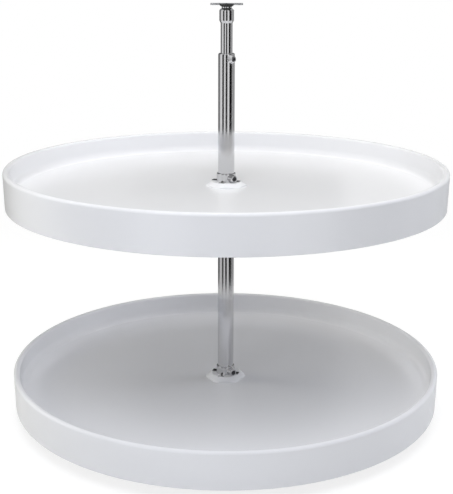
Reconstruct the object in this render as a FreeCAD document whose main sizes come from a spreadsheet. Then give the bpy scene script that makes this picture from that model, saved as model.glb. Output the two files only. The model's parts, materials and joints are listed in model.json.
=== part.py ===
"""Two full-circle trays on a telescoping post, the turning fitting of a corner pantry cabinet.

The origin is the centre of the base plate's underside, on the spin axis, and +Z runs up the post.
The front of the fitting faces -Y. All lengths are in millimetres and all angles in degrees.
"""

import FreeCAD, Part
import os
import Sketcher

SIZES = {
    # Trays: heights are counted from the bottom edge of the tray's own skirt.
    "tray_diameter": 711.2,
    "tray_depth": 58.9,
    "tray_inset": 1.1,
    "tray_wall": 2.8,
    "tray_crown": 3.2,
    "lip_width": 10.0,
    "lip_round": 4.9,
    "lip_channel_round": 2.0,
    "skirt_edge_round": 1.0,
    "floor_drop": 36.5,
    "floor_thickness": 3.0,
    "floor_round": 12.0,
    "wall_draft": 1.0,
    "rib_count": 12,
    "rib_thickness": 2.4,
    "rib_depth": 6.0,
    "rib_reach": 331.0,
    "inner_ring_radius": 125.0,
    "outer_ring_radius": 235.0,
    "lower_tray_level": 22.0,
    "upper_tray_level": 356.4,
    # Hub in the middle of each tray.
    "pad_rise": 7.8,
    "pad_radius": 31.0,
    "pad_flat_radius": 24.0,
    "pad_slope": 0.7,
    "lobe_count": 6,
    "lobe_angle": 30.0,
    "lobe_radius": 9.0,
    "lobe_offset": 24.5,
    "hub_base": 5.0,
    "hub_radius": 20.0,
    "hub_bore": 15.8,
    "slot_depth": 0.8,
    "slot_width": 10.1,
    # Clamp collar: the chromed sleeve that holds a tray on the post.
    "collar_foot": 1.0,
    "collar_top": 44.0,
    "collar_radius": 15.6,
    "collar_bore": 13.35,
    "collar_round": 2.0,
    "collar_screw_level": 36.9,
    "tab_count": 4,
    "tab_angle": 38.0,
    "tab_width": 9.5,
    "tab_reach": 23.5,
    "tab_thickness": 1.8,
    "ring_radius": 21.0,
    "notch_depth": 2.5,
    "notch_width": 6.0,
    # Set screws and the raised bosses that they are threaded into.
    "lock_azimuth": 42.0,
    "clamp_azimuth": 32.0,
    "lock_thread_radius": 3.0,
    "clamp_thread_radius": 4.0,
    "screw_clearance": 0.05,
    "screw_gap": 0.15,
    "screw_proud": 0.3,
    "screw_point": 0.8,
    "socket_width": 3.0,
    "socket_depth": 2.6,
    "lock_boss_rise": 4.0,
    "lock_boss_slope": 0.6,
    "lock_boss_face": 4.6,
    "clamp_boss_rise": 9.5,
    "clamp_boss_slope": 0.09,
    "clamp_boss_face": 5.6,
    "boss_sink": 2.2,
    "boss_round": 1.1,
    # Outer tube of the post.
    "post_radius": 13.3,
    "post_bore": 11.65,
    "post_top": 591.5,
    "post_round": 2.6,
    "mouth_radius": 9.6,
    "mouth_length": 1.6,
    "lock_level": 582.6,
    # Inner tube of the post, with a swelled end inside the outer tube and another at the top.
    "inner_radius": 9.525,
    "inner_wall": 1.2,
    "inner_foot": 431.3,
    "inner_top": 662.3,
    "guide_radius": 11.6,
    "guide_length": 20.0,
    "swell_taper": 3.9,
    "swell_radius": 11.6,
    "swell_foot": 637.6,
    "shoulder_foot": 657.0,
    "shoulder_top": 660.6,
    "shoulder_inset": 0.5,
    "shoulder_round": 2.5,
    "neck_radius": 7.9,
    "neck_round": 1.0,
    # Bottom pivot and its thrust bearing.
    "base_width": 101.6,
    "base_depth": 101.6,
    "base_thickness": 3.0,
    "base_corner": 12.0,
    "base_spacing": 82.55,
    "base_hole": 2.6,
    "base_sink": 1.8,
    "seat_radius": 27.0,
    "seat_rise": 1.5,
    "pin_radius": 4.75,
    "pin_top": 42.0,
    "pin_chamfer": 1.4,
    "race_bore": 8.0,
    "race_radius": 22.5,
    "race_thickness": 2.2,
    "race_gap": 3.4,
    "race_round": 0.5,
    "groove_clearance": 0.1,
    "ball_count": 12,
    "ball_radius": 2.5,
    "ball_pitch": 15.5,
    "cage_bore": 9.5,
    "cage_radius": 21.5,
    "cage_thickness": 1.8,
    "pocket_radius": 2.65,
    "flange_thickness": 2.5,
    "spigot_length": 2.0,
    "plug_length": 30.0,
    "plug_clearance": 0.06,
    # Top bearing and its fixing plate.
    "top_width": 50.8,
    "top_depth": 11.0,
    "top_thickness": 3.0,
    "top_corner": 3.0,
    "top_spacing": 38.1,
    "top_hole": 2.3,
    "top_sink": 1.1,
    "top_level": 665.0,
    "dome_radius": 13.0,
    "dome_face_radius": 8.4,
    "dome_top": 666.7,
    "dome_edge": 0.7,
    "channel_clearance": 0.05,
    "dome_gap": 0.2,
    "stud_radius": 4.0,
    "stud_head": 6.0,
    "stud_foot": 640.4,
    "stud_lip": 2.0,
    "bushing_foot": 643.0,
    "bushing_clearance": 0.06,
}

# Heights that several pieces share, as expressions on the spreadsheet's cells.
FLOOR_TOP = "(dim.tray_depth - dim.floor_drop)"
FLOOR_UNDERSIDE = f"({FLOOR_TOP} - dim.floor_thickness)"
PAD_TOP = f"({FLOOR_TOP} + dim.pad_rise)"
TAB_LEVEL = f"({PAD_TOP} - dim.slot_depth)"
SEAT_TOP = "(dim.base_thickness + dim.seat_rise)"
LOWER_RACE_TOP = f"({SEAT_TOP} + dim.race_thickness)"
BALL_LEVEL = f"({LOWER_RACE_TOP} + dim.race_gap / 2)"
UPPER_RACE_FOOT = f"({LOWER_RACE_TOP} + dim.race_gap)"
UPPER_RACE_TOP = f"({UPPER_RACE_FOOT} + dim.race_thickness)"
POST_FOOT = f"({UPPER_RACE_TOP} + dim.flange_thickness)"
INNER_BORE = "(dim.inner_radius - dim.inner_wall)"
SWELL_BORE = "(dim.swell_radius - dim.inner_wall)"
NECK_BORE = "(dim.neck_radius - dim.inner_wall)"
SHOULDER_UNDERSIDE = "(dim.shoulder_foot - dim.shoulder_inset)"
NECK_UNDERSIDE = "(dim.shoulder_top - dim.shoulder_inset)"
GUIDE_TOP = "(dim.inner_foot + dim.guide_length)"

doc = FreeCAD.newDocument("two_tray_lazy_susan")
dim = doc.addObject("Spreadsheet::Sheet", "dim")
subparts = []


def fill_sheet():
    """Write every driving dimension into its own cell and give the cell its name."""
    for row, (name, size) in enumerate(SIZES.items(), start=1):
        dim.set(f"A{row}", name)
        dim.set(f"B{row}", str(size))
        dim.setAlias(f"B{row}", name)
    doc.recompute()


def value(expression):
    """The number that an expression on the sheet's cells gives now."""
    return float(dim.evalExpression(expression))


def new_body(label):
    """An empty body, which becomes the sub-part of that name."""
    body = doc.addObject("PartDesign::Body", label)
    body.Label = label
    subparts.append(body)
    return body


def origin_feature(body, role):
    return next(feature for feature in body.Origin.OriginFeatures if feature.Role == role)


def place(body, level="0", turn=None):
    """Raise a body to its level on the post and turn it about the post."""
    body.setExpression("Placement.Base.z", level)
    if turn:
        body.setExpression("Placement.Rotation.Angle", turn)


def new_sketch(body, role, name, level=None, turn=None):
    """A sketch on one of the body's origin planes, lifted off it and turned where asked."""
    sketch = body.newObject("Sketcher::SketchObject", f"{body.Name}_{name}")
    sketch.AttachmentSupport = [(origin_feature(body, role), "")]
    sketch.MapMode = "FlatFace"
    if level:
        sketch.setExpression("AttachmentOffset.Base.z", level)
    if turn:
        sketch.setExpression("AttachmentOffset.Rotation.Angle", turn)
    return sketch


def bind_point(sketch, geometry, vertex, corner):
    """Hold one point of a sketch at a corner given by two expressions."""
    for axis, expression in zip("XY", corner):
        if expression == "0":
            axis_line = -2 if axis == "X" else -1
            sketch.addConstraint(Sketcher.Constraint("PointOnObject", geometry, vertex, axis_line))
            continue
        constraint = Sketcher.Constraint("Distance" + axis, -1, 1, geometry, vertex, value(expression))
        name = f"point_{geometry}_{axis}"
        sketch.renameConstraint(sketch.addConstraint(constraint), name)
        sketch.setExpression(f"Constraints.{name}", expression)


def draw_outline(sketch, corners):
    """A closed outline of straight lines through corners, each held by two expressions."""
    points = [FreeCAD.Vector(value(across), value(up), 0) for across, up in corners]
    count = len(points)
    for index in range(count):
        sketch.addGeometry(Part.LineSegment(points[index], points[(index + 1) % count]))
    for index in range(count):
        sketch.addConstraint(Sketcher.Constraint("Coincident", index, 2, (index + 1) % count, 1))
    for index, corner in enumerate(corners):
        bind_point(sketch, index, 1, corner)


def draw_circle(sketch, centre, radius):
    """A circle whose centre and radius are held by expressions."""
    middle = FreeCAD.Vector(value(centre[0]), value(centre[1]), 0)
    index = sketch.addGeometry(Part.Circle(middle, FreeCAD.Vector(0, 0, 1), value(radius)))
    bind_point(sketch, index, 3, centre)
    name = f"radius_{index}"
    sketch.renameConstraint(sketch.addConstraint(Sketcher.Constraint("Radius", index, value(radius))), name)
    sketch.setExpression(f"Constraints.{name}", radius)


def rectangle(left, right, front, back):
    return [(left, front), (right, front), (right, back), (left, back)]


def turn_profile(body, name, corners, kind="Revolution"):
    """Turn a half section, given as radius and height, about the post's axis."""
    sketch = new_sketch(body, "XZ_Plane", name + "_section")
    draw_outline(sketch, corners)
    feature = body.newObject("PartDesign::" + kind, f"{body.Name}_{name}")
    feature.Profile = sketch
    feature.ReferenceAxis = (sketch, ["V_Axis"])
    feature.Angle = 360
    doc.recompute()
    return feature


def groove_ring(body, name, radius, level, groove_radius):
    """Cut a round groove, as a ball leaves, into a ring."""
    sketch = new_sketch(body, "XZ_Plane", name + "_section")
    draw_circle(sketch, (radius, level), groove_radius)
    feature = body.newObject("PartDesign::Groove", f"{body.Name}_{name}")
    feature.Profile = sketch
    feature.ReferenceAxis = (sketch, ["V_Axis"])
    feature.Angle = 360
    doc.recompute()


def pad(body, sketch, name, length):
    feature = body.newObject("PartDesign::Pad", f"{body.Name}_{name}")
    feature.Profile = sketch
    feature.setExpression("Length", length)
    doc.recompute()
    return feature


def cut_pocket(body, sketch, name, depth=None, outwards=False):
    """Cut a sketch into the body, to a depth, or right through when no depth is given."""
    volume_before = body.Shape.Volume
    feature = body.newObject("PartDesign::Pocket", f"{body.Name}_{name}")
    feature.Profile = sketch
    feature.Reversed = outwards
    if depth:
        feature.setExpression("Length", depth)
    else:
        feature.Type = "ThroughAll"
    doc.recompute()
    if not body.Shape.Volume < volume_before:
        raise RuntimeError(f"{feature.Name} cuts nothing")
    return feature


def repeat_round(body, feature, name, count):
    """Repeat a feature evenly round the body's own vertical axis."""
    pattern = body.newObject("PartDesign::PolarPattern", f"{body.Name}_{name}")
    pattern.Originals = [feature]
    pattern.Axis = (origin_feature(body, "Z_Axis"), [""])
    pattern.Angle = 360
    pattern.setExpression("Occurrences", count)
    body.Tip = pattern
    doc.recompute()


def ring_edges(body, rings):
    """Names of the circular edges at the given radii and heights of a turned body."""
    tolerance = 0.02
    wanted = [(value(radius), value(level)) for radius, level in rings]
    names = []
    for number, edge in enumerate(body.Tip.Shape.Edges, start=1):
        if not isinstance(edge.Curve, Part.Circle):
            continue
        found = (edge.Curve.Radius, edge.Curve.Center.z)
        for ring in wanted:
            if abs(found[0] - ring[0]) < tolerance and abs(found[1] - ring[1]) < tolerance:
                names.append(f"Edge{number}")
    if len(names) < len(wanted):
        raise RuntimeError(f"{body.Label}: {len(names)} edges for {len(wanted)} rings")
    return names


def dress_edges(body, name, edges, size, kind="Fillet"):
    """Round or bevel named edges of the body's last feature."""
    base = body.Tip
    feature = body.newObject("PartDesign::" + kind, f"{body.Name}_{name}")
    feature.Base = (base, edges)
    feature.setExpression("Radius" if kind == "Fillet" else "Size", size)
    doc.recompute()


def round_rings(body, name, rings, size):
    dress_edges(body, name, ring_edges(body, rings), size)


def screw_boss(body, prefix, surface, level):
    """Add the raised boss that a set screw is threaded into, facing the body's own front."""
    plane = origin_feature(body, "XZ_Plane")
    boss = body.newObject("PartDesign::AdditiveCone", f"{body.Name}_boss")
    boss.AttachmentSupport = [(plane, "")]
    boss.MapMode = "FlatFace"
    height = f"(dim.{prefix}_boss_rise + dim.boss_sink)"
    face = f"dim.{prefix}_boss_face"
    boss.setExpression("AttachmentOffset.Base.y", level)
    boss.setExpression("AttachmentOffset.Base.z", f"{surface} - dim.boss_sink")
    boss.setExpression("Radius1", f"{face} + {height} * dim.{prefix}_boss_slope")
    boss.setExpression("Radius2", face)
    boss.setExpression("Height", height)
    doc.recompute()
    face_edges = []
    for number, edge in enumerate(body.Tip.Shape.Edges, start=1):
        curve = edge.Curve
        if isinstance(curve, Part.Circle) and abs(curve.Radius - value(face)) < 0.01:
            face_edges.append(f"Edge{number}")
    dress_edges(body, "boss_round", face_edges, "dim.boss_round")


def thread_hole(body, prefix, level):
    """Cut the threaded hole of a set screw from the post's axis out through the boss."""
    sketch = new_sketch(body, "XZ_Plane", "thread_circle")
    draw_circle(sketch, ("0", level), f"dim.{prefix}_thread_radius")
    cut_pocket(body, sketch, "thread", outwards=True)


def fixing_plate(label, prefix, level, centre_radius, sink_level, hole_centre, hole_count):
    """A flat plate with a centre hole and countersunk screw holes spread evenly round it."""
    body = new_body(label)
    place(body, level)
    side = f"dim.{prefix}_width / 2"
    back = f"dim.{prefix}_depth / 2"
    sketch = new_sketch(body, "XY_Plane", "outline")
    draw_outline(sketch, rectangle(f"-{side}", side, f"-{back}", back))
    pad(body, sketch, "sheet", f"dim.{prefix}_thickness")
    corners = []
    for number, edge in enumerate(body.Tip.Shape.Edges, start=1):
        if abs(edge.tangentAt(edge.FirstParameter).z) > 0.99:
            corners.append(f"Edge{number}")
    dress_edges(body, "corners", corners, f"dim.{prefix}_corner")
    sketch = new_sketch(body, "XY_Plane", "centre_circle", f"dim.{prefix}_thickness")
    draw_circle(sketch, ("0", "0"), centre_radius)
    cut_pocket(body, sketch, "centre_hole")
    sketch = new_sketch(body, "XY_Plane", "screw_circle", f"dim.{prefix}_thickness")
    draw_circle(sketch, hole_centre, f"dim.{prefix}_hole")
    hole = cut_pocket(body, sketch, "screw_hole")
    repeat_round(body, hole, "screw_holes", str(hole_count))
    rims = ring_edges(body, [(f"dim.{prefix}_hole", sink_level)] * hole_count)
    dress_edges(body, "countersinks", sorted(set(rims)), f"dim.{prefix}_sink", "Chamfer")
    return body


def base_plate():
    """Zinc-plated plate screwed to the cabinet floor, with a raised seat for the bearing."""
    centre = ("dim.base_spacing / 2", "dim.base_spacing / 2")
    body = fixing_plate("base_plate", "base", "0", "dim.pin_radius", "dim.base_thickness", centre, 4)
    turn_profile(body, "seat", [
        ("dim.pin_radius", "dim.base_thickness - 1"),
        ("dim.seat_radius", "dim.base_thickness - 1"),
        ("dim.seat_radius", SEAT_TOP),
        ("dim.pin_radius", SEAT_TOP),
    ])
    round_rings(body, "seat_round", [("dim.seat_radius", SEAT_TOP)], "dim.race_round")


def base_pivot_pin():
    """Steel pin riveted through the base plate, on which the post turns."""
    body = new_body("base_pivot_pin")
    turn_profile(body, "shank", [
        ("0", "0"),
        ("dim.pin_radius", "0"),
        ("dim.pin_radius", SEAT_TOP),
        ("dim.race_bore", SEAT_TOP),
        ("dim.race_bore", LOWER_RACE_TOP),
        ("dim.pin_radius", LOWER_RACE_TOP),
        ("dim.pin_radius", "dim.pin_top - dim.pin_chamfer"),
        ("dim.pin_radius - dim.pin_chamfer", "dim.pin_top"),
        ("0", "dim.pin_top"),
    ])


def bearing_race(label, foot):
    """Hardened ring with a ball groove, laid with its groove towards the balls."""
    body = new_body(label)
    top = f"{foot} + dim.race_thickness"
    turn_profile(body, "ring", rectangle("dim.race_bore", "dim.race_radius", foot, top))
    groove_ring(body, "track", "dim.ball_pitch", BALL_LEVEL, "dim.ball_radius + dim.groove_clearance")
    round_rings(body, "edges", [("dim.race_radius", foot), ("dim.race_radius", top)], "dim.race_round")


def bearing_cage():
    """Nylon ring whose pockets keep the balls evenly spaced between the races."""
    body = new_body("bearing_cage")
    foot = f"{BALL_LEVEL} - dim.cage_thickness / 2"
    top = f"{BALL_LEVEL} + dim.cage_thickness / 2"
    turn_profile(body, "ring", rectangle("dim.cage_bore", "dim.cage_radius", foot, top))
    sketch = new_sketch(body, "XY_Plane", "pocket_circle", top)
    draw_circle(sketch, ("dim.ball_pitch", "0"), "dim.pocket_radius")
    pocket = cut_pocket(body, sketch, "pocket")
    repeat_round(body, pocket, "pockets", "dim.ball_count")


def bearing_balls():
    """The steel balls, each a solid of its own in the middle of its pocket."""
    balls = []
    for index in range(int(value("dim.ball_count"))):
        ball = doc.addObject("Part::Sphere", f"ball_{index + 1}")
        angle = f"(360 deg * {index} / dim.ball_count)"
        ball.setExpression("Radius", "dim.ball_radius")
        ball.setExpression("Placement.Base.x", f"dim.ball_pitch * cos{angle}")
        ball.setExpression("Placement.Base.y", f"dim.ball_pitch * sin{angle}")
        ball.setExpression("Placement.Base.z", BALL_LEVEL)
        balls.append(ball)
    group = doc.addObject("Part::Compound", "bearing_balls")
    group.Label = "bearing_balls"
    group.Links = balls
    subparts.append(group)


def bottom_plug():
    """Nylon plug pressed into the post's foot, which runs on the pivot pin."""
    body = new_body("bottom_plug")
    bore = "dim.pin_radius + dim.plug_clearance"
    turn_profile(body, "plug", [
        (bore, f"{UPPER_RACE_TOP} - dim.spigot_length"),
        ("dim.race_bore", f"{UPPER_RACE_TOP} - dim.spigot_length"),
        ("dim.race_bore", UPPER_RACE_TOP),
        ("dim.post_radius", UPPER_RACE_TOP),
        ("dim.post_radius", POST_FOOT),
        ("dim.post_bore", POST_FOOT),
        ("dim.post_bore", f"{POST_FOOT} + dim.plug_length"),
        (bore, f"{POST_FOOT} + dim.plug_length"),
    ])


def outer_post():
    """Chromed outer tube: open foot, mouth rolled in round the inner tube, one screw boss."""
    body = new_body("outer_post")
    place(body, turn="dim.lock_azimuth")
    turn_profile(body, "bar", rectangle("0", "dim.post_radius", POST_FOOT, "dim.post_top"))
    round_rings(body, "mouth_round", [("dim.post_radius", "dim.post_top")], "dim.post_round")
    screw_boss(body, "lock", "dim.post_radius", "dim.lock_level")
    turn_profile(body, "bore", [
        ("0", f"{POST_FOOT} - 1"),
        ("dim.post_bore", f"{POST_FOOT} - 1"),
        ("dim.post_bore", "dim.post_top - dim.mouth_length"),
        ("dim.mouth_radius", "dim.post_top - dim.mouth_length"),
        ("dim.mouth_radius", "dim.post_top + 1"),
        ("0", "dim.post_top + 1"),
    ], kind="Groove")
    thread_hole(body, "lock", "dim.lock_level")


def set_screw(label, prefix, inner_surface, outer_surface, level):
    """Socket set screw that points at the post's axis and stands just proud of its boss."""
    body = new_body(label)
    place(body, level, f"dim.{prefix}_azimuth")
    start = f"{inner_surface} + dim.screw_gap"
    face = f"{outer_surface} + dim.{prefix}_boss_rise + dim.screw_proud"
    sketch = new_sketch(body, "XZ_Plane", "shank_circle", start)
    draw_circle(sketch, ("0", "0"), f"dim.{prefix}_thread_radius - dim.screw_clearance")
    pad(body, sketch, "shank", f"{face} - ({start})")
    middle = value(f"({start} + {face}) / 2")
    point = []
    for number, edge in enumerate(body.Tip.Shape.Edges, start=1):
        if isinstance(edge.Curve, Part.Circle) and abs(edge.Curve.Center.y) < middle:
            point.append(f"Edge{number}")
    dress_edges(body, "point", point, "dim.screw_point", "Chamfer")
    sketch = new_sketch(body, "XZ_Plane", "socket_hexagon", face)
    half_flat = "dim.socket_width / 2"
    half_side = "dim.socket_width * tan(30 deg) / 2"
    corner = "dim.socket_width * tan(30 deg)"
    draw_outline(sketch, [
        ("0", f"-{corner}"),
        (half_flat, f"-{half_side}"),
        (half_flat, half_side),
        ("0", corner),
        (f"-{half_flat}", half_side),
        (f"-{half_flat}", f"-{half_side}"),
    ])
    cut_pocket(body, sketch, "socket", "dim.socket_depth")


def inner_post():
    """Chromed inner tube with a swelled guide at its foot and a swelled, necked-in top."""
    body = new_body("inner_post")
    turn_profile(body, "bar", [
        ("0", "dim.inner_foot"),
        ("dim.guide_radius", "dim.inner_foot"),
        ("dim.guide_radius", GUIDE_TOP),
        ("dim.inner_radius", f"{GUIDE_TOP} + dim.swell_taper"),
        ("dim.inner_radius", "dim.swell_foot"),
        ("dim.swell_radius", "dim.swell_foot + dim.swell_taper"),
        ("dim.swell_radius", "dim.shoulder_foot"),
        ("dim.neck_radius", "dim.shoulder_top"),
        ("dim.neck_radius", "dim.inner_top"),
        ("0", "dim.inner_top"),
    ])
    round_rings(body, "shoulder", [("dim.swell_radius", "dim.shoulder_foot")], "dim.shoulder_round")
    round_rings(body, "neck", [("dim.neck_radius", "dim.shoulder_top")], "dim.neck_round")
    turn_profile(body, "bore", [
        ("0", "dim.inner_foot - 1"),
        (SWELL_BORE, "dim.inner_foot - 1"),
        (SWELL_BORE, GUIDE_TOP),
        (INNER_BORE, f"{GUIDE_TOP} + dim.swell_taper"),
        (INNER_BORE, "dim.swell_foot"),
        (SWELL_BORE, "dim.swell_foot + dim.swell_taper"),
        (SWELL_BORE, SHOULDER_UNDERSIDE),
        (NECK_BORE, NECK_UNDERSIDE),
        (NECK_BORE, "dim.inner_top + 1"),
        ("0", "dim.inner_top + 1"),
    ], kind="Groove")


def top_bushing():
    """Nylon bushing seated in the inner tube's swelled top, the bore of the top bearing."""
    body = new_body("top_bushing")
    bore = "dim.stud_radius + dim.bushing_clearance"
    turn_profile(body, "bush", [
        (bore, "dim.bushing_foot"),
        (SWELL_BORE, "dim.bushing_foot"),
        (SWELL_BORE, SHOULDER_UNDERSIDE),
        (NECK_BORE, NECK_UNDERSIDE),
        (NECK_BORE, "dim.inner_top"),
        (bore, "dim.inner_top"),
    ])


def top_washer():
    """Black nylon dome between the inner tube's neck and the top plate, which lies in its channel."""
    body = new_body("top_washer")
    turn_profile(body, "dome", [
        ("dim.stud_radius", "dim.inner_top + dim.dome_gap"),
        ("dim.dome_face_radius", "dim.inner_top + dim.dome_gap"),
        ("dim.dome_radius", "dim.dome_top - dim.dome_edge"),
        ("dim.dome_radius", "dim.dome_top"),
        ("dim.stud_radius", "dim.dome_top"),
    ])
    sketch = new_sketch(body, "XY_Plane", "channel_outline", "dim.dome_top")
    end = "(dim.dome_radius + 1)"
    side = "(dim.top_depth / 2 + dim.channel_clearance)"
    draw_outline(sketch, rectangle(f"-{end}", end, f"-{side}", side))
    cut_pocket(body, sketch, "channel", "dim.dome_top - dim.top_level")


def top_pivot_pin():
    """Steel stud with a flush countersunk head and an upset end that keeps it in the bushing."""
    body = new_body("top_pivot_pin")
    turn_profile(body, "stud", [
        ("0", "dim.stud_foot"),
        ("dim.stud_head", "dim.stud_foot"),
        ("dim.stud_head", "dim.stud_foot + dim.stud_lip"),
        ("dim.stud_radius", "dim.stud_foot + dim.stud_lip"),
        ("dim.stud_radius", "dim.top_level"),
        ("dim.stud_head", "dim.top_level + dim.top_thickness"),
        ("0", "dim.top_level + dim.top_thickness"),
    ])


def top_plate():
    """Bar screwed under the cabinet top, countersunk above for the stud and below for its screws."""
    centre = ("dim.top_spacing / 2", "0")
    body = fixing_plate("top_plate", "top", "dim.top_level", "dim.stud_radius", "0", centre, 2)
    turn_profile(body, "stud_sink", [
        ("0", "0"),
        ("dim.stud_radius", "0"),
        ("dim.stud_head", "dim.top_thickness"),
        ("0", "dim.top_thickness"),
    ], kind="Groove")


def tray(label, level):
    """Moulded tray: skirt and inner wall under a rounded lip, ribbed floor, lobed hub pad."""
    body = new_body(label)
    place(body, level)
    rim = "dim.tray_diameter / 2"
    lip_inside = f"({rim} - dim.lip_width)"
    wall_foot = f"({lip_inside} - dim.wall_draft)"
    skirt_foot = f"({rim} - dim.tray_inset)"
    crown = "(dim.tray_depth - dim.tray_crown)"
    turn_profile(body, "shell", [
        ("dim.hub_bore", "dim.hub_base"),
        ("dim.hub_radius", "dim.hub_base"),
        ("dim.hub_radius", FLOOR_UNDERSIDE),
        (f"{wall_foot} + dim.tray_wall", FLOOR_UNDERSIDE),
        (f"{lip_inside} + dim.tray_wall", crown),
        (f"{rim} - dim.tray_wall", crown),
        (f"{skirt_foot} - dim.tray_wall", "0"),
        (skirt_foot, "0"),
        (rim, "dim.tray_depth"),
        (lip_inside, "dim.tray_depth"),
        (wall_foot, FLOOR_TOP),
        ("dim.hub_bore", FLOOR_TOP),
    ])
    round_rings(body, "lip", [(rim, "dim.tray_depth"), (lip_inside, "dim.tray_depth")], "dim.lip_round")
    round_rings(body, "floor_corner", [(wall_foot, FLOOR_TOP)], "dim.floor_round")
    outer_corner = [(f"{wall_foot} + dim.tray_wall", FLOOR_UNDERSIDE)]
    round_rings(body, "under_corner", outer_corner, "dim.floor_round + dim.tray_wall")
    channel = [(f"{lip_inside} + dim.tray_wall", crown), (f"{rim} - dim.tray_wall", crown)]
    round_rings(body, "channel", channel, "dim.lip_channel_round")
    round_rings(body, "skirt_edge", [(skirt_foot, "0")], "dim.skirt_edge_round")
    add_ribs(body)
    add_hub_pad(body)


def add_ribs(body):
    """Stiffening ribs under a tray's floor: two rings and a star of straight ribs."""
    rib_foot = f"{FLOOR_UNDERSIDE} - dim.rib_depth"
    rib_top = f"{FLOOR_UNDERSIDE} + 1"
    for name in ("inner_ring", "outer_ring"):
        inside = f"dim.{name}_radius"
        section = rectangle(inside, f"{inside} + dim.rib_thickness", rib_foot, rib_top)
        turn_profile(body, name, section)
    sketch = new_sketch(body, "XY_Plane", "rib_outline", rib_foot)
    half = "dim.rib_thickness / 2"
    draw_outline(sketch, rectangle("dim.hub_radius - 1", "dim.rib_reach", f"-{half}", half))
    rib = pad(body, sketch, "rib", "dim.rib_depth + 1")
    repeat_round(body, rib, "ribs", "dim.rib_count")


def add_hub_pad(body):
    """The raised pad with lobes and a sloping flank. The collar's tabs lie on it in shallow slots."""
    height = "dim.pad_rise + 1"
    foot = f"{FLOOR_TOP} - 1"
    sketch = new_sketch(body, "XY_Plane", "pad_circle", foot)
    draw_circle(sketch, ("0", "0"), "dim.pad_radius")
    pad(body, sketch, "pad", height)
    sketch = new_sketch(body, "XY_Plane", "lobe_circle", foot, "dim.lobe_angle - 90")
    draw_circle(sketch, ("dim.lobe_offset", "0"), "dim.lobe_radius")
    lobe = pad(body, sketch, "lobe", height)
    repeat_round(body, lobe, "lobes", "dim.lobe_count")
    outside = "(dim.lobe_offset + dim.lobe_radius + 1)"
    turn_profile(body, "pad_flank", [
        ("dim.pad_flat_radius", PAD_TOP),
        ("dim.pad_flat_radius", f"{PAD_TOP} + 1"),
        (outside, f"{PAD_TOP} + 1"),
        (outside, f"{PAD_TOP} - ({outside} - dim.pad_flat_radius) * dim.pad_slope"),
    ], kind="Groove")
    sketch = new_sketch(body, "XY_Plane", "bore_circle", PAD_TOP)
    draw_circle(sketch, ("0", "0"), "dim.hub_bore")
    cut_pocket(body, sketch, "bore")
    sketch = new_sketch(body, "XY_Plane", "slot_outline", PAD_TOP, "dim.clamp_azimuth + dim.tab_angle")
    half = "dim.slot_width / 2"
    reach = "dim.tab_reach + 0.3"
    draw_outline(sketch, rectangle(f"-{half}", half, f"-({reach})", "-(dim.hub_bore - 1)"))
    slot = cut_pocket(body, sketch, "slot", "dim.slot_depth")
    repeat_round(body, slot, "slots", "dim.tab_count")


def clamp_collar(label, level):
    """Chromed sleeve that slides on the post: rounded top, flat tabs over the hub pad, screw boss."""
    body = new_body(label)
    place(body, level, "dim.clamp_azimuth")
    turn_profile(body, "bar", rectangle("0", "dim.collar_radius", "dim.collar_foot", "dim.collar_top"))
    round_rings(body, "rim", [("dim.collar_radius", "dim.collar_top")], "dim.collar_round")
    screw_boss(body, "clamp", "dim.collar_radius", "dim.collar_screw_level")
    sketch = new_sketch(body, "XY_Plane", "tab_outline", TAB_LEVEL, "dim.tab_angle")
    half = "dim.tab_width / 2"
    draw_outline(sketch, rectangle(f"-{half}", half, "-dim.tab_reach", "-(dim.collar_bore + 1)"))
    tab = pad(body, sketch, "tab", "dim.tab_thickness")
    repeat_round(body, tab, "tabs", "dim.tab_count")
    sketch = new_sketch(body, "XY_Plane", "bore_circle", "dim.collar_top")
    draw_circle(sketch, ("0", "0"), "dim.collar_bore")
    cut_pocket(body, sketch, "bore")
    thread_hole(body, "clamp", "dim.collar_screw_level")


def support_ring(label, level):
    """Ring on the collar's foot that carries the tray's hub, with notches for a pin spanner."""
    body = new_body(label)
    place(body, level)
    turn_profile(body, "ring", rectangle("dim.collar_radius", "dim.ring_radius", "dim.collar_foot", "dim.hub_base"))
    edges = [("dim.ring_radius", "dim.collar_foot"), ("dim.ring_radius", "dim.hub_base")]
    round_rings(body, "edges", edges, "dim.race_round")
    sketch = new_sketch(body, "XY_Plane", "notch_outline", "dim.hub_base")
    half = "dim.notch_width / 2"
    outside = "dim.ring_radius + 1"
    inside = "dim.ring_radius - dim.notch_depth"
    draw_outline(sketch, rectangle(f"-{half}", half, f"-({outside})", f"-({inside})"))
    notch = cut_pocket(body, sketch, "notch")
    repeat_round(body, notch, "notches", "4")


def tray_set(place_name):
    """One tray with the collar, set screw and ring that hold it on the post."""
    level = f"dim.{place_name}_tray_level"
    tray(f"{place_name}_tray", level)
    clamp_collar(f"{place_name}_clamp_collar", level)
    support_ring(f"{place_name}_support_ring", level)
    screw_level = f"{level} + dim.collar_screw_level"
    set_screw(f"{place_name}_set_screw", "clamp", "dim.post_radius", "dim.collar_radius", screw_level)


def check_and_export():
    """Stop on any failed object, then write one STEP file for each sub-part."""
    doc.recompute()
    for item in doc.Objects:
        if {"Invalid", "Error"} & set(item.State):
            raise RuntimeError(f"{item.Name} failed: {item.State}")
    for item in subparts:
        if item.Shape.isNull() or not item.Shape.isValid():
            raise RuntimeError(f"{item.Label} has no valid shape")
    os.makedirs("parts", exist_ok=True)
    for item in subparts:
        item.Shape.exportStep(f"parts/{item.Label}.step")
        box = item.Shape.BoundBox
        solids = len(item.Shape.Solids)
        print(f"{item.Label}: {solids} solids, {item.Shape.Volume:.0f} mm3, z {box.ZMin:.1f} to {box.ZMax:.1f}")


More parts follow.
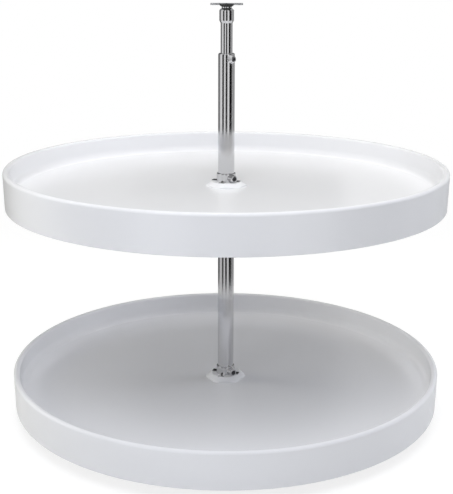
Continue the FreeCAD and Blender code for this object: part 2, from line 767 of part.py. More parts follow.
fill_sheet()
base_plate()
base_pivot_pin()
bearing_race("lower_race", SEAT_TOP)
bearing_cage()
bearing_balls()
bearing_race("upper_race", UPPER_RACE_FOOT)
bottom_plug()
outer_post()
set_screw("post_lock_screw", "lock", "dim.inner_radius", "dim.post_radius", "dim.lock_level")
inner_post()
top_bushing()
top_washer()
top_pivot_pin()
top_plate()
tray_set("lower")
tray_set("upper")
check_and_export()
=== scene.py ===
"""Two full-circle trays on a chromed telescoping post, dressed and lit in a plain studio.

Every piece is modelled in metres in the model's own frame: the origin is under the base plate on
the spin axis, +Z runs up the post and the front faces -Y. Pieces that carry a screw are modelled
with the screw facing -Y and are then turned to its azimuth.
"""

import json
import math
from functools import partial

import bmesh
import bpy
from bpy.props import FloatProperty, FloatVectorProperty, IntProperty, PointerProperty
from bpy.types import Operator, Panel, PropertyGroup
from mathutils import Matrix, Vector


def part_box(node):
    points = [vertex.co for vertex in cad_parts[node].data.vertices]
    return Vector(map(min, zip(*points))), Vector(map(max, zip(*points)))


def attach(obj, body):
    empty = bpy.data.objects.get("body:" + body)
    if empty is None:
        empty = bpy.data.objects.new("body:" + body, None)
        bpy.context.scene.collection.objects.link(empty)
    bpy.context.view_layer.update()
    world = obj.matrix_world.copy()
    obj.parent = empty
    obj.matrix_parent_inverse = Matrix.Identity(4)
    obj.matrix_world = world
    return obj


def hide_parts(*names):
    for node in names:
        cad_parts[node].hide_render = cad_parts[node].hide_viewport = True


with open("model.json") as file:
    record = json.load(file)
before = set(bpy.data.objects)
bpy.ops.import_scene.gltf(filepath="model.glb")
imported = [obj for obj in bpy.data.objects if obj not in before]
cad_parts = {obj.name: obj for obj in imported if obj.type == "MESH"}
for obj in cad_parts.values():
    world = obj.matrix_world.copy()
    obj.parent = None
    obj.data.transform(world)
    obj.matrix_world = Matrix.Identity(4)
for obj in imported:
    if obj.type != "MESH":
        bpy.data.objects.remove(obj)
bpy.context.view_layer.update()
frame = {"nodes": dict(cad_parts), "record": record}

bl_info = {
    "name": "Pantry Lazy Susan",
    "version": (1, 0, 0),
    "blender": (4, 5, 0),
    "location": "View3D > Sidebar > Pantry",
    "description": "Two full-circle trays on a telescoping post, with finishes and a studio",
    "category": "Add Mesh",
}

LEVELS = {name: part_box(f"{name}_tray")[0].z for name in ("lower", "upper")}
TRAY_LOW, TRAY_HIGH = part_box("lower_tray")
POST_LOW, POST_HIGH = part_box("outer_post")
INNER_LOW, INNER_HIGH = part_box("inner_post")
TOP_LOW, TOP_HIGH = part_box("top_plate")
WASHER_LOW, WASHER_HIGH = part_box("top_washer")
COLOURS = {entry["slot"]: entry["base_color"] for entry in frame["record"]["materials"]}

SEED = 0.001          # size of the plane that shrinks to an outline's first point
MERGE = 1e-6          # points nearer than this are one
PLACE = 2e-5          # how near a point lies to the place it is looked for
OVERLAP = 0.001       # how far two pieces reach into each other before they are joined
RIB_STEP = 0.00025    # how much shallower the straight ribs are than the ring ribs they cross
SEAT_SPARE = OVERLAP / 3    # how much longer the seat of a tab is than the tab
LOBE_SIDES = 32       # sides of the pad's outline for each of its lobes
SCREW_RIM = 1 / 8     # rounding of a screw's outer end, as a share of its radius
SWELL_FLOW = 0.6      # rounding of the ends of a swelled tube's cone, as a share of its height
ROUND_STEP = math.radians(11)
SHARP = math.radians(34)
UPRIGHT_TO_FRONT = Matrix.Rotation(math.pi / 2, 4, "X")   # lays +Z onto -Y


# Sizes and colours that a user can change


def value(name, description, default, **options):
    return FloatProperty(name=name, description=description, default=default, min=0.0, **options)


length = partial(value, precision=4, unit="LENGTH")
factor = partial(value, subtype="FACTOR")
watts = partial(value, unit="POWER")


def angle(name, description, degrees):
    return FloatProperty(name=name, description=description, default=math.radians(degrees),
                         unit="ROTATION")


def number(name, description, default):
    return IntProperty(name=name, description=description, default=default, min=1)


def colour(name, description):
    return FloatVectorProperty(name=name, description=description, subtype="COLOR",
                               default=COLOURS[name.lower().replace(" ", "_")], min=0.0, max=1.0)


class PantryTraySizes(PropertyGroup):
    """The moulded trays; heights count from the bottom edge of a tray's skirt."""

    radius: length("Radius", "Radius over the rim", TRAY_HIGH.x)
    depth: length("Depth", "Height of the skirt with its lip", TRAY_HIGH.z - TRAY_LOW.z)
    skirt_inset: length("Skirt inset", "How much smaller the skirt is at its foot", 0.0011)
    wall: length("Wall", "Thickness of the skirt and the inner wall", 0.0028)
    crown: length("Crown", "Thickness of the lip", 0.0032)
    lip_width: length("Lip width", "Width over the rolled lip", 0.010)
    lip_round: length("Lip rounding", "Rounding of the lip's two edges", 0.0049)
    channel_round: length("Channel rounding", "Rounding inside the hollow lip", 0.002)
    skirt_round: length("Skirt rounding", "Rounding of the skirt's foot", 0.001)
    floor_drop: length("Floor drop", "Depth of the floor below the lip", 0.0365)
    floor_thickness: length("Floor thickness", "Thickness of the floor", 0.003)
    floor_round: length("Floor rounding", "Rounding between floor and wall", 0.012)
    wall_draft: length("Wall draft", "How far the inner wall leans outwards", 0.001)
    rib_count: number("Ribs", "Straight ribs under the floor", 12)
    rib_thickness: length("Rib thickness", "Thickness of a rib", 0.0024)
    rib_depth: length("Rib depth", "Depth of a rib below the floor", 0.006)
    rib_reach: length("Rib reach", "Radius where the straight ribs end", 0.331)
    inner_ring: length("Inner ring", "Radius of the inner ring rib", 0.125)
    outer_ring: length("Outer ring", "Radius of the outer ring rib", 0.235)


class PantryHubSizes(PropertyGroup):
    """The hub in the middle of each tray and the clamp collar that holds it."""

    pad_rise: length("Pad rise", "Height of the pad above the floor", 0.0078)
    pad_radius: length("Pad radius", "Radius of the pad", 0.031)
    pad_flat: length("Pad flat", "Radius of the pad's flat top", 0.024)
    pad_drop: length("Pad drop", "How far the flank falls by the lobes' tips", 0.00665)
    pad_round: length("Pad rounding", "Rounding of the pad's edges", 0.0008)
    lobe_count: number("Lobes", "Lobes round the pad", 6)
    lobe_angle: angle("Lobe angle", "Angle from the front to the first lobe", 30)
    lobe_tip: length("Lobe tip", "Radius to the tip of a lobe", 0.0335)
    lobe_spread: length("Lobe spread", "Half the width of a lobe", 0.012)
    base: length("Hub base", "Height of the hub's lower end", 0.005)
    radius: length("Hub radius", "Outer radius of the hub", 0.020)
    bore: length("Hub bore", "Radius of the hole for the collar", 0.0158)
    slot_depth: length("Slot depth", "Depth of the seat of a tab", 0.0008)
    slot_width: length("Slot width", "Width of the seat of a tab", 0.0101)
    collar_foot: length("Collar foot", "Height of the collar's lower end", 0.001)
    collar_top: length("Collar top", "Height of the collar's upper end", 0.044)
    collar_radius: length("Collar radius", "Outer radius of the collar", 0.0156)
    collar_bore: length("Collar bore", "Inner radius of the collar", 0.01335)
    collar_round: length("Collar rounding", "Rounding of the collar's top", 0.002)
    screw_level: length("Screw level", "Height of the set screw", 0.0369)
    screw_azimuth: angle("Screw azimuth", "Angle of the set screw from the front", 32)
    thread_radius: length("Thread radius", "Radius of the threaded hole", 0.004)
    boss_rise: length("Boss rise", "How far the boss stands out of the collar", 0.0095)
    boss_face: length("Boss face", "Radius of the boss's face", 0.0056)
    boss_slope: factor("Boss slope", "How much the boss widens towards the collar", 0.09)
    tab_count: number("Tabs", "Flat tabs on the collar", 4)
    tab_angle: angle("Tab angle", "Angle from the set screw to the first tab", 38)
    tab_width: length("Tab width", "Width of a tab", 0.0095)
    tab_reach: length("Tab reach", "Radius to the tip of a tab", 0.0235)
    tab_thickness: length("Tab thickness", "Thickness of a tab", 0.0018)
    tab_round: length("Tab rounding", "Rounding of a tab's edges", 0.0004)
    ring_radius: length("Ring radius", "Outer radius of the support ring", 0.021)
    ring_edge: length("Ring edge", "Rounding of the support ring", 0.0005)
    notch_count: number("Notches", "Spanner notches in the support ring", 4)
    notch_depth: length("Notch depth", "Depth of a spanner notch", 0.0025)
    notch_width: length("Notch width", "Width of a spanner notch", 0.006)


class PantryPostSizes(PropertyGroup):
    """The two tubes of the post and their set screws; heights count from the floor."""

    radius: length("Outer tube radius", "Radius of the outer tube", -POST_LOW.x)
    bore: length("Outer tube bore", "Inner radius of the outer tube", 0.01165)
    mouth_round: length("Mouth rounding", "Rounding of the rolled-in mouth", 0.0026)
    mouth_radius: length("Mouth radius", "Radius of the hole in the mouth", 0.0096)
    mouth_length: length("Mouth length", "Thickness of the rolled-in mouth", 0.0016)
    lock_level: length("Lock level", "Height of the post's lock screw", 0.5826)
    inner_radius: length("Inner tube radius", "Radius of the inner tube", 0.009525)
    inner_wall: length("Inner tube wall", "Wall of the inner tube", 0.0012)
    swell_radius: length("Swell radius", "Radius of the swelled end", 0.0116)
    swell_foot: length("Swell foot", "Height where the swelled end starts", 0.6376)
    swell_taper: length("Swell taper", "Height of the cone into a swelled end", 0.0039)
    guide_radius: length("Guide radius", "Radius of the inner tube's swelled foot", 0.0116)
    guide_length: length("Guide length", "Length of the swelled foot", 0.020)
    shoulder_foot: length("Shoulder foot", "Height where the tube draws in", 0.657)
    shoulder_top: length("Shoulder top", "Height where the neck starts", 0.6606)
    shoulder_inset: length("Shoulder inset", "How far the shoulder lies lower inside", 0.0005)
    shoulder_round: length("Shoulder rounding", "Rounding of the shoulder", 0.0025)
    neck_radius: length("Neck radius", "Radius of the neck", 0.0079)
    neck_round: length("Neck rounding", "Rounding from the shoulder into the neck", 0.001)
    screw_azimuth: angle("Screw azimuth", "Angle of the lock screw from the front", 42)
    thread_radius: length("Thread radius", "Radius of the threaded hole", 0.003)
    screw_clearance: length("Screw clearance", "Gap round a screw in its thread", 0.00005)
    screw_gap: length("Screw gap", "Gap between a screw's point and its tube", 0.00015)
    screw_proud: length("Screw proud", "How far a screw stands out of its boss", 0.0003)
    screw_point: length("Screw point", "Bevel of a screw's point", 0.0008)
    socket_width: length("Socket width", "Size across the flats of the hexagon socket", 0.003)
    socket_depth: length("Socket depth", "Depth of the hexagon socket", 0.0026)
    boss_rise: length("Boss rise", "How far the boss stands out of the tube", 0.004)
    boss_face: length("Boss face", "Radius of the boss's face", 0.0046)
    boss_slope: factor("Boss slope", "How much the boss widens towards the tube", 0.6)
    boss_sink: length("Boss sink", "How far a boss's foot lies inside its tube", 0.0022)
    boss_round: length("Boss rounding", "Rounding of a boss's face", 0.0011)


class PantryPivotSizes(PropertyGroup):
    """The fixing plates and pivots at both ends of the post."""

    top_corner: length("Top plate corner", "Corner radius of the top plate", 0.003)
    top_spacing: length("Top screw spacing", "Spacing of the top plate's screw holes", 0.0381)
    top_hole: length("Top screw hole", "Radius of the top plate's screw holes", 0.0023)
    top_sink: length("Top countersink", "Depth of the top plate's countersinks", 0.0011)
    dome_radius: length("Dome radius", "Radius of the black washer under the plate", WASHER_HIGH.y)
    dome_face: length("Dome face", "Radius of the washer's lower face", 0.0084)
    dome_edge: length("Dome edge", "Height of the washer's edge", 0.0007)
    dome_face_round: length("Dome face rounding", "Rounding round the lower face", 0.0004)
    dome_round: length("Dome rounding", "Rounding between the dome and its edge", 0.0006)
    dome_edge_round: length("Dome edge rounding", "Rounding of the edge's top", 0.0003)
    channel_gap: length("Channel gap", "Gap between the plate and its channel", 0.00005)
    stud_radius: length("Stud radius", "Radius of the top stud", 0.004)
    stud_head: length("Stud head", "Radius of the stud's countersunk head", 0.006)
    base_corner: length("Base plate corner", "Corner radius of the base plate", 0.012)
    base_thickness: length("Base plate thickness", "Thickness of the base plate", 0.003)
    base_spacing: length("Base screw spacing", "Spacing of the base plate's screw holes", 0.08255)
    base_hole: length("Base screw hole", "Radius of the base plate's screw holes", 0.0026)
    base_sink: length("Base countersink", "Depth of the base plate's countersinks", 0.0018)
    seat_radius: length("Seat radius", "Radius of the base plate's raised seat", 0.027)
    seat_round: length("Seat rounding", "Rounding of the raised seat", 0.0005)
    pin_radius: length("Pin radius", "Radius of the base pivot pin", 0.00475)
    plate_edge: length("Plate edge", "Rounding of the plates' edges", 0.0003)


class PantryFinishes(PropertyGroup):
    """Base colours of the finishes."""

    white_polymer: colour("White polymer", "Moulded trays")
    chrome: colour("Chrome", "Tubes and collars")
    zinc_plate: colour("Zinc plate", "Fixing plates")
    steel: colour("Steel", "Pins, races and balls")
    screw_steel: colour("Screw steel", "Set screws")
    white_nylon: colour("White nylon", "Plug, bushing, cage and support rings")
    black_nylon: colour("Black nylon", "Domed washer")


class PantryStageSettings(PropertyGroup):
    """Camera, floor and lamps."""

    camera_distance: length("Camera distance", "Distance in front of the post", 1.5685)
    camera_side: length("Camera side", "How far the camera stands to the right", 0.0009)
    camera_height: length("Camera height", "Height above the floor", 0.7008)
    camera_pitch: angle("Camera pitch", "How far the camera looks down", 15.204)
    camera_roll: angle("Camera roll", "Tilt of the picture", 0.19)
    lens: value("Lens", "Focal length", 71.286, unit="CAMERA")
    floor_size: length("Floor size", "Width of the floor", 300.0)
    floor_white: factor("Floor white", "Grey of the floor that throws light back", 0.8)
    floor_shade: factor("Floor shade", "Grey of the floor that shows shadows", 0.28)
    floor_glow: factor("Floor glow", "How much the floor that shows shadows glows", 0.80)
    # Lowers the floor's glow for mirrors near the object: a painted shadow of the object on the
    # floor, for the chrome to mirror
    mirror_loss: factor("Mirror loss", "How much less it glows in mirrors", 0.35)
    fade_start: length("Fade start", "Where the floor starts to fade to white", 0.8)
    fade_end: length("Fade end", "Where the floor has faded to white", 2.2)
    overhead: watts("Overhead lamp", "Lamp overhead", 6.0)
    ceiling: watts("Ceiling lamp", "Wide lamp over everything", 44.5)
    front_high: watts("High front lamp", "High lamp in front", 17.0)
    front_low: watts("Low front lamp", "Shines in under the upper tray", 3.4)
    front_left: watts("Low front left lamp", "Shines in there from the left", 8.2)
    left: watts("Left lamp", "Low lamp at the left", 13.8)
    right: watts("Right lamp", "Low lamp at the right", 16.4)


# Modelling


def select_only(piece):
    bpy.ops.object.select_all(action="DESELECT")
    piece.select_set(True)
    bpy.context.view_layer.objects.active = piece


def start_editing(piece):
    """Open a piece's mesh with all of it selected."""
    select_only(piece)
    bpy.ops.object.mode_set(mode="EDIT")
    bpy.ops.mesh.select_mode(type="VERT")
    bpy.ops.mesh.select_all(action="SELECT")


def stop_editing():
    bpy.ops.object.mode_set(mode="OBJECT")


def choose(piece, kind, test):
    """In edit mode, select just the vertices, edges or faces that pass a test."""
    bpy.ops.mesh.select_mode(type=kind)
    bpy.ops.mesh.select_all(action="DESELECT")
    mesh = bmesh.from_edit_mesh(piece.data)
    items = {"VERT": mesh.verts, "EDGE": mesh.edges, "FACE": mesh.faces}[kind]
    chosen = [item for item in items if test(item)]
    for item in chosen:
        item.select_set(True)
    bmesh.update_edit_mesh(piece.data)
    if not chosen:
        raise RuntimeError(f"{piece.name}: nothing to select")


def add_primitive(name, kind, **settings):
    """Add a primitive with nothing else selected, and name it and its mesh."""
    bpy.ops.object.select_all(action="DESELECT")
    getattr(bpy.ops.mesh, f"primitive_{kind}_add")(**settings)
    piece = bpy.context.object
    piece.name = name
    piece.data.name = name
    return piece


def apply_modifier(piece, modifier):
    select_only(piece)
    bpy.ops.object.modifier_apply(modifier=modifier.name)


def combine(piece, operation, tool):
    """Join a tool piece to a piece or cut it out of it, and use the tool up."""
    modifier = piece.modifiers.new("combine", "BOOLEAN")
    modifier.operation = operation
    modifier.solver = "EXACT"
    modifier.object = tool
    apply_modifier(piece, modifier)
    bpy.data.objects.remove(tool)


def copy_piece(piece, name, place):
    """A copy with its own mesh, moved or turned by a matrix."""
    twin = piece.copy()
    twin.data = piece.data.copy()
    twin.name = name
    twin.data.name = name
    twin.data.transform(place)
    bpy.context.collection.objects.link(twin)
    return twin


def repeat_round(piece, count):
    """Repeat a piece evenly round the post's axis and join the copies to it."""
    turns = [Matrix.Rotation(math.tau * index / count, 4, "Z") for index in range(1, count)]
    copies = [copy_piece(piece, piece.name + "_copy", turn) for turn in turns]
    select_only(piece)
    for item in copies:
        item.select_set(True)
    bpy.ops.object.join()
    return piece


def star(name, count, width, inner, outer, low, high, rounding=0.0):
    """Bars from one radius to another, spread evenly round the post's axis from the front."""
    bar = block(name, (-width / 2, -outer, low), (width / 2, -inner, high), rounding)
    return repeat_round(bar, count)


def turn_to(piece, turn):
    """Turn a finished piece about the post's axis, in its mesh."""
    select_only(piece)
    piece.rotation_euler.z = turn
    bpy.ops.object.transform_apply(location=False, rotation=True, scale=False)


def round_corner(piece, before, corner, after):
    """Round one corner of an outline that is being drawn."""
    here = Vector(corner[:2])
    turn = (here - Vector(before[:2])).angle(Vector(after[:2]) - here)
    choose(piece, "VERT", lambda v: (v.co - Vector((here.x, 0, here.y))).length < PLACE)
    bpy.ops.mesh.bevel(offset=corner[2] * math.tan(turn / 2), offset_type="OFFSET",
                       segments=max(3, math.ceil(turn / ROUND_STEP)), affect="VERTICES")


def turned(name, corners, steps=128):
    """A piece turned about the post's axis from its half section.

    A corner is a radius and a height, and a rounding where it has one. An outline that starts on
    the axis stays open there.
    """
    piece = add_primitive(name, "plane", size=SEED)
    start_editing(piece)
    bpy.ops.mesh.merge(type="CENTER")
    bpy.ops.transform.translate(value=(corners[0][0], 0, corners[0][1]))
    for last, corner in zip(corners, corners[1:]):
        step = (corner[0] - last[0], 0, corner[1] - last[1])
        bpy.ops.mesh.extrude_region_move(TRANSFORM_OT_translate={"value": step})
    if corners[0][0] > 0:
        ends = [Vector((corner[0], 0, corner[1])) for corner in (corners[0], corners[-1])]
        choose(piece, "VERT", lambda v: min((v.co - end).length for end in ends) < PLACE)
        bpy.ops.mesh.edge_face_add()
    count = len(corners)
    for index, corner in enumerate(corners):
        if len(corner) > 2:
            round_corner(piece, corners[index - 1], corner, corners[(index + 1) % count])
    bpy.ops.mesh.select_all(action="SELECT")
    bpy.ops.mesh.spin(steps=steps, angle=math.tau, center=(0, 0, 0), axis=(0, 0, 1))
    bpy.ops.mesh.select_all(action="SELECT")
    bpy.ops.mesh.remove_doubles(threshold=MERGE)
    bpy.ops.mesh.normals_make_consistent(inside=False)
    stop_editing()
    return piece


def block(name, low, high, rounding=0.0):
    """A box between two corners, its edges rounded where asked."""
    low, high = Vector(low), Vector(high)
    piece = add_primitive(name, "cube", size=1)
    start_editing(piece)
    bpy.ops.transform.resize(value=high - low, center_override=(0, 0, 0))
    bpy.ops.transform.translate(value=(low + high) / 2)
    if rounding:
        bpy.ops.mesh.bevel(offset=rounding, segments=3, affect="EDGES")
    stop_editing()
    return piece


def rod(name, radius, start, end, sides=64):
    """A straight rod from one point to another, used as a cutter."""
    start, end = Vector(start), Vector(end)
    aim = (end - start).to_track_quat("Z", "Y").to_euler()
    piece = add_primitive(name, "cylinder", vertices=sides, radius=radius, rotation=aim,
                          depth=(end - start).length, location=(start + end) / 2)
    bpy.ops.object.transform_apply(location=True, rotation=True, scale=True)
    return piece


def add_boss(piece, post, boss, surface, level):
    """Join a conical screw boss to a tube's wall towards -Y, and drill its thread."""
    foot, face = surface - post.boss_sink, surface + boss.boss_rise
    cone = turned("boss", [
        (0, foot),
        (boss.boss_face + (face - foot) * boss.boss_slope, foot),
        (boss.boss_face, face, post.boss_round),
        (0, face),
    ], steps=96)
    cone.data.transform(Matrix.Translation((0, 0, level)) @ UPRIGHT_TO_FRONT)
    combine(piece, "UNION", cone)
    drill = rod("drill", boss.thread_radius, (0, 0, level), (0, -2 * surface, level))
    combine(piece, "DIFFERENCE", drill)


def paint(piece, slot):
    piece.data.materials.clear()
    piece.data.materials.append(finish(slot))


def dress(piece, body, slot, *nodes):
    """Smooth a finished piece, paint it, and put it on its body in place of its nodes."""
    select_only(piece)
    bpy.ops.object.shade_smooth_by_angle(angle=SHARP)
    weighted = piece.modifiers.new("flat faces stay flat", "WEIGHTED_NORMAL")
    weighted.keep_sharp = True
    apply_modifier(piece, weighted)
    paint(piece, slot)
    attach(piece, body)
    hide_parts(*nodes)


def dress_both(*rows):
    """Copy patterns that stand at height 0 to both trays, dress the copies, and drop the patterns.

    A row is a pattern, what it rides on, its slot and the node it stands for.
    """
    for name, level in LEVELS.items():
        for pattern, body, slot, node in rows:
            copy = copy_piece(pattern, f"{name}_{pattern.name}", Matrix.Translation((0, 0, level)))
            dress(copy, f"{name}_{body}", slot, f"{name}_{node}")
    for row in rows:
        bpy.data.objects.remove(row[0])


# Materials


# The colour sockets of a Mix node, whose names its number and vector sockets share
MIX_FACTOR, MIX_FIRST, MIX_SECOND, MIX_RESULT = 0, 6, 7, 2


class Field:
    """A value in a shader; arithmetic on it adds Math nodes."""

    def __init__(self, shader, socket):
        self.shader = shader
        self.socket = socket

    def __add__(self, other):
        return self.shader.maths("ADD", self, other)

    def __radd__(self, other):
        return self.shader.maths("ADD", other, self)

    def __mul__(self, other):
        return self.shader.maths("MULTIPLY", self, other)

    def __rmul__(self, other):
        return self.shader.maths("MULTIPLY", other, self)


class Shader:
    """A material or a world under construction."""

    def __init__(self, owner):
        self.owner = owner
        owner.use_nodes = True
        self.tree = owner.node_tree
        self.tree.nodes.clear()

    def node(self, kind, settings=None, sockets=None, output=0):
        """Add a node, set it up, feed its sockets, and return one of its outputs."""
        made = self.tree.nodes.new(f"ShaderNode{kind}")
        for name, setting in (settings or {}).items():
            if name == "stops":
                self.set_stops(made.color_ramp.elements, setting)
            else:
                setattr(made, name, setting)
        for key, feed in (sockets or {}).items():
            if isinstance(feed, Field):
                self.tree.links.new(feed.socket, made.inputs[key])
            else:
                made.inputs[key].default_value = feed
        return Field(self, made.outputs[output]) if made.outputs else None

    @staticmethod
    def set_stops(elements, stops):
        """Set a ramp's stops, each a position and a colour."""
        while len(elements) < len(stops):
            elements.new(1.0)
        for element, (position, shade) in zip(elements, stops):
            element.position = position
            element.color = shade

    def maths(self, operation, first, second):
        return self.node("Math", {"operation": operation}, {0: first, 1: second})

    def place(self, scale=(1, 1, 1)):
        """The place on the piece, stretched by a scale."""
        at = self.node("TexCoord", output="Object")
        return self.node("Mapping", None, {"Vector": at, "Scale": scale})

    def noise(self, scale, detail=2.0, stretch=(1, 1, 1)):
        sockets = {"Vector": self.place(stretch), "Scale": scale, "Detail": detail}
        return self.node("TexNoise", None, sockets, "Fac")

    def shades(self, mask, base, *shares):
        """A colour that a mask turns from one share of its brightness to another."""
        first, second = ((*(min(1.0, part * share) for part in base), 1.0) for share in shares)
        sockets = {MIX_FACTOR: mask, MIX_FIRST: first, MIX_SECOND: second}
        return self.node("Mix", {"data_type": "RGBA"}, sockets, MIX_RESULT)

    def bump(self, height, strength, distance):
        sockets = {"Height": height, "Strength": strength, "Distance": distance}
        return self.node("Bump", None, sockets, "Normal")

    def glow(self, colour, strength=1.0):
        return self.node("Emission", None, {"Color": colour, "Strength": strength})

    def output(self, surface, kind="OutputMaterial"):
        self.node(kind, None, {"Surface": surface})

    def surface(self, **sockets):
        """Finish a material with one principled surface."""
        feeds = {name.replace("_", " "): feed for name, feed in sockets.items()}
        self.output(self.node("BsdfPrincipled", None, feeds))


def new_shader(name):
    return Shader(bpy.data.materials.new(name))


def white_polymer(shader, base):
    """Semi-gloss moulded polymer with a faint cloudiness and a fine skin."""
    cloud = shader.noise(7.0, detail=3.0)
    skin = shader.noise(900.0)
    shader.surface(
        Base_Color=shader.shades(cloud, base, 0.985, 1.01),
        Roughness=0.25 + 0.08 * cloud,
        IOR=1.5,
        Normal=shader.bump(skin, strength=0.05, distance=0.0001),
    )


def chrome(shader, base):
    """Bright plate over drawn tube: faint lines along the tube and a hint of smudging."""
    drawn = shader.noise(700.0, stretch=(1, 1, 0.01))
    smudge = shader.noise(45.0, detail=3.0)
    shader.surface(
        Base_Color=shader.shades(smudge, base, 0.97, 1.02),
        Metallic=1.0,
        Roughness=0.015 + 0.03 * smudge,
        Normal=shader.bump(drawn, strength=0.03, distance=0.00005),
    )


def zinc_plate(shader, base):
    """Pressed steel under dull zinc, slightly mottled."""
    mottle = shader.noise(160.0, detail=4.0)
    grain = shader.noise(1500.0)
    shader.surface(
        Base_Color=shader.shades(mottle, base, 0.85, 1.1),
        Metallic=1.0,
        Roughness=0.28 + 0.2 * mottle,
        Normal=shader.bump(grain, strength=0.15, distance=0.0001),
    )


def steel(shader, base):
    """Turned and ground steel."""
    ground = shader.noise(1200.0, stretch=(1, 1, 6))
    shader.surface(
        Base_Color=shader.shades(ground, base, 0.9, 1.08),
        Metallic=1.0,
        Roughness=0.18 + 0.14 * ground,
        Normal=shader.bump(ground, strength=0.08, distance=0.00005),
    )


def screw_steel(shader, base):
    """Black oxide over steel, rubbed a little brighter in patches."""
    rubbed = shader.noise(900.0, detail=3.0)
    shader.surface(
        Base_Color=shader.shades(rubbed, base, 0.8, 1.6),
        Metallic=0.85,
        Roughness=0.3 + 0.2 * rubbed,
        Normal=shader.bump(rubbed, strength=0.1, distance=0.00005),
    )


def white_nylon(shader, base, depth=1.0, roughness=0.4, gloss=0.5):
    """Moulded nylon with a slightly uneven skin, its colour deepened by a factor."""
    cloud = shader.noise(220.0, detail=3.0)
    skin = shader.noise(1800.0)
    shader.surface(
        Base_Color=shader.shades(cloud, base, 0.93 * depth, 1.05 * depth),
        Roughness=roughness + 0.12 * cloud,
        Specular_IOR_Level=gloss,
        Normal=shader.bump(skin, strength=0.12, distance=0.0001),
    )


def black_nylon(shader, base):
    """The same moulding in deep black, a little glossier."""
    white_nylon(shader, base, depth=0.12, roughness=0.3, gloss=0.1)


# By material slot, which each is named after
MAKERS = {maker.__name__: maker for maker in (
    white_polymer, chrome, zinc_plate, steel, screw_steel, white_nylon, black_nylon)}


def finish(slot):
    """The finish of a material slot, made once."""
    if slot not in bpy.data.materials:
        MAKERS[slot](new_shader(slot), tuple(getattr(bpy.context.scene.pantry_finishes, slot)))
    return bpy.data.materials[slot]


# The trays


def tray_shell(sizes, hub):
    """The turned body of a tray with its two ring ribs, standing at height 0."""
    rim = sizes.radius
    lip_inside = rim - sizes.lip_width
    wall_foot = lip_inside - sizes.wall_draft
    skirt_foot = rim - sizes.skirt_inset
    floor = sizes.depth - sizes.floor_drop
    under = floor - sizes.floor_thickness
    crown = sizes.depth - sizes.crown
    rib_foot = under - sizes.rib_depth
    rings = []
    for ring in (sizes.inner_ring, sizes.outer_ring):
        rings += [
            (ring, under),
            (ring, rib_foot),
            (ring + sizes.rib_thickness, rib_foot),
            (ring + sizes.rib_thickness, under),
        ]
    tray = turned("tray_shell", [
        (0, hub.base),
        (hub.radius, hub.base, sizes.skirt_round),
        (hub.radius, under),
        *rings,
        (wall_foot + sizes.wall, under, sizes.floor_round + sizes.wall),
        (lip_inside + sizes.wall, crown, sizes.channel_round),
        (rim - sizes.wall, crown, sizes.channel_round),
        (skirt_foot - sizes.wall, 0),
        (skirt_foot, 0, sizes.skirt_round),
        (rim, sizes.depth, sizes.lip_round),
        (lip_inside, sizes.depth, sizes.lip_round),
        (wall_foot, floor, sizes.floor_round),
        (0, floor),
    ], steps=256)
    start_editing(tray)
    for level in (floor, hub.base):   # each flat middle becomes one face
        choose(tray, "FACE", lambda f: all(abs(v.co.z - level) < PLACE for v in f.verts))
        bpy.ops.mesh.dissolve_faces()
    stop_editing()
    return tray


def tray_ribs(sizes, hub):
    """The star of straight ribs."""
    under = sizes.depth - sizes.floor_drop - sizes.floor_thickness
    half = sizes.rib_thickness / 2
    low = (-half, hub.radius - OVERLAP, under - sizes.rib_depth + RIB_STEP)
    high = (half, sizes.rib_reach, under + OVERLAP)
    return repeat_round(block("tray_ribs", low, high), sizes.rib_count)


def hub_pad(sizes, hub):
    """The raised pad: a flat top, a sloping flank pulled out into lobes, and an upright foot."""
    floor = sizes.depth - sizes.floor_drop
    low, high = floor - OVERLAP, floor + hub.pad_rise
    slope = hub.pad_drop / (hub.lobe_tip - hub.pad_flat)
    shoulder = high - slope * (hub.pad_radius - hub.pad_flat)
    pad = add_primitive("hub_pad", "circle", vertices=hub.lobe_count * LOBE_SIDES,
                        radius=hub.pad_radius, fill_type="NGON")
    start_editing(pad)
    bpy.ops.transform.translate(value=(0, 0, low))
    narrower = hub.pad_flat / hub.pad_radius
    for last, level, width in ((low, shoulder, 1), (shoulder, high, narrower)):
        step = (0, 0, level - last)
        bpy.ops.mesh.extrude_region_move(TRANSFORM_OT_translate={"value": step})
        bpy.ops.transform.resize(value=(width, width, 1), center_override=(0, 0, level))
    bpy.ops.mesh.hide()   # keeps the flat top still while the lobes are pulled out below it
    reach = hub.lobe_tip - hub.pad_radius
    for index in range(hub.lobe_count):
        turn = hub.lobe_angle + math.tau * index / hub.lobe_count
        out = Vector((math.sin(turn), -math.cos(turn), 0))
        tip = out * hub.pad_radius
        choose(pad, "VERT", lambda v: not v.hide and (v.co.xy - tip.xy).length < PLACE)
        bpy.ops.transform.translate(value=out * reach - Vector((0, 0, slope * reach)),
                                    use_proportional_edit=True, use_proportional_connected=True,
                                    proportional_edit_falloff="SMOOTH",
                                    proportional_size=hub.lobe_spread)
    choose(pad, "FACE", lambda f: f.normal.z < -0.5)
    bpy.ops.transform.resize(value=(1, 1, 0), center_override=(0, 0, low))
    bpy.ops.mesh.reveal()
    choose(pad, "EDGE", lambda e: all(v.co.z > floor + OVERLAP for v in e.verts)
           and e.calc_face_angle(0) > SHARP / 2)
    bpy.ops.mesh.bevel(offset=hub.pad_round, segments=2, affect="EDGES")
    stop_editing()
    return pad


def tab_slots(sizes, hub):
    """Cutters for the shallow seats of the collar's tabs."""
    top = sizes.depth - sizes.floor_drop + hub.pad_rise
    slots = star("slots", hub.tab_count, hub.slot_width, hub.bore - OVERLAP,
                 hub.tab_reach + SEAT_SPARE, top - hub.slot_depth, top + OVERLAP)
    turn_to(slots, hub.screw_azimuth + hub.tab_angle)
    return slots


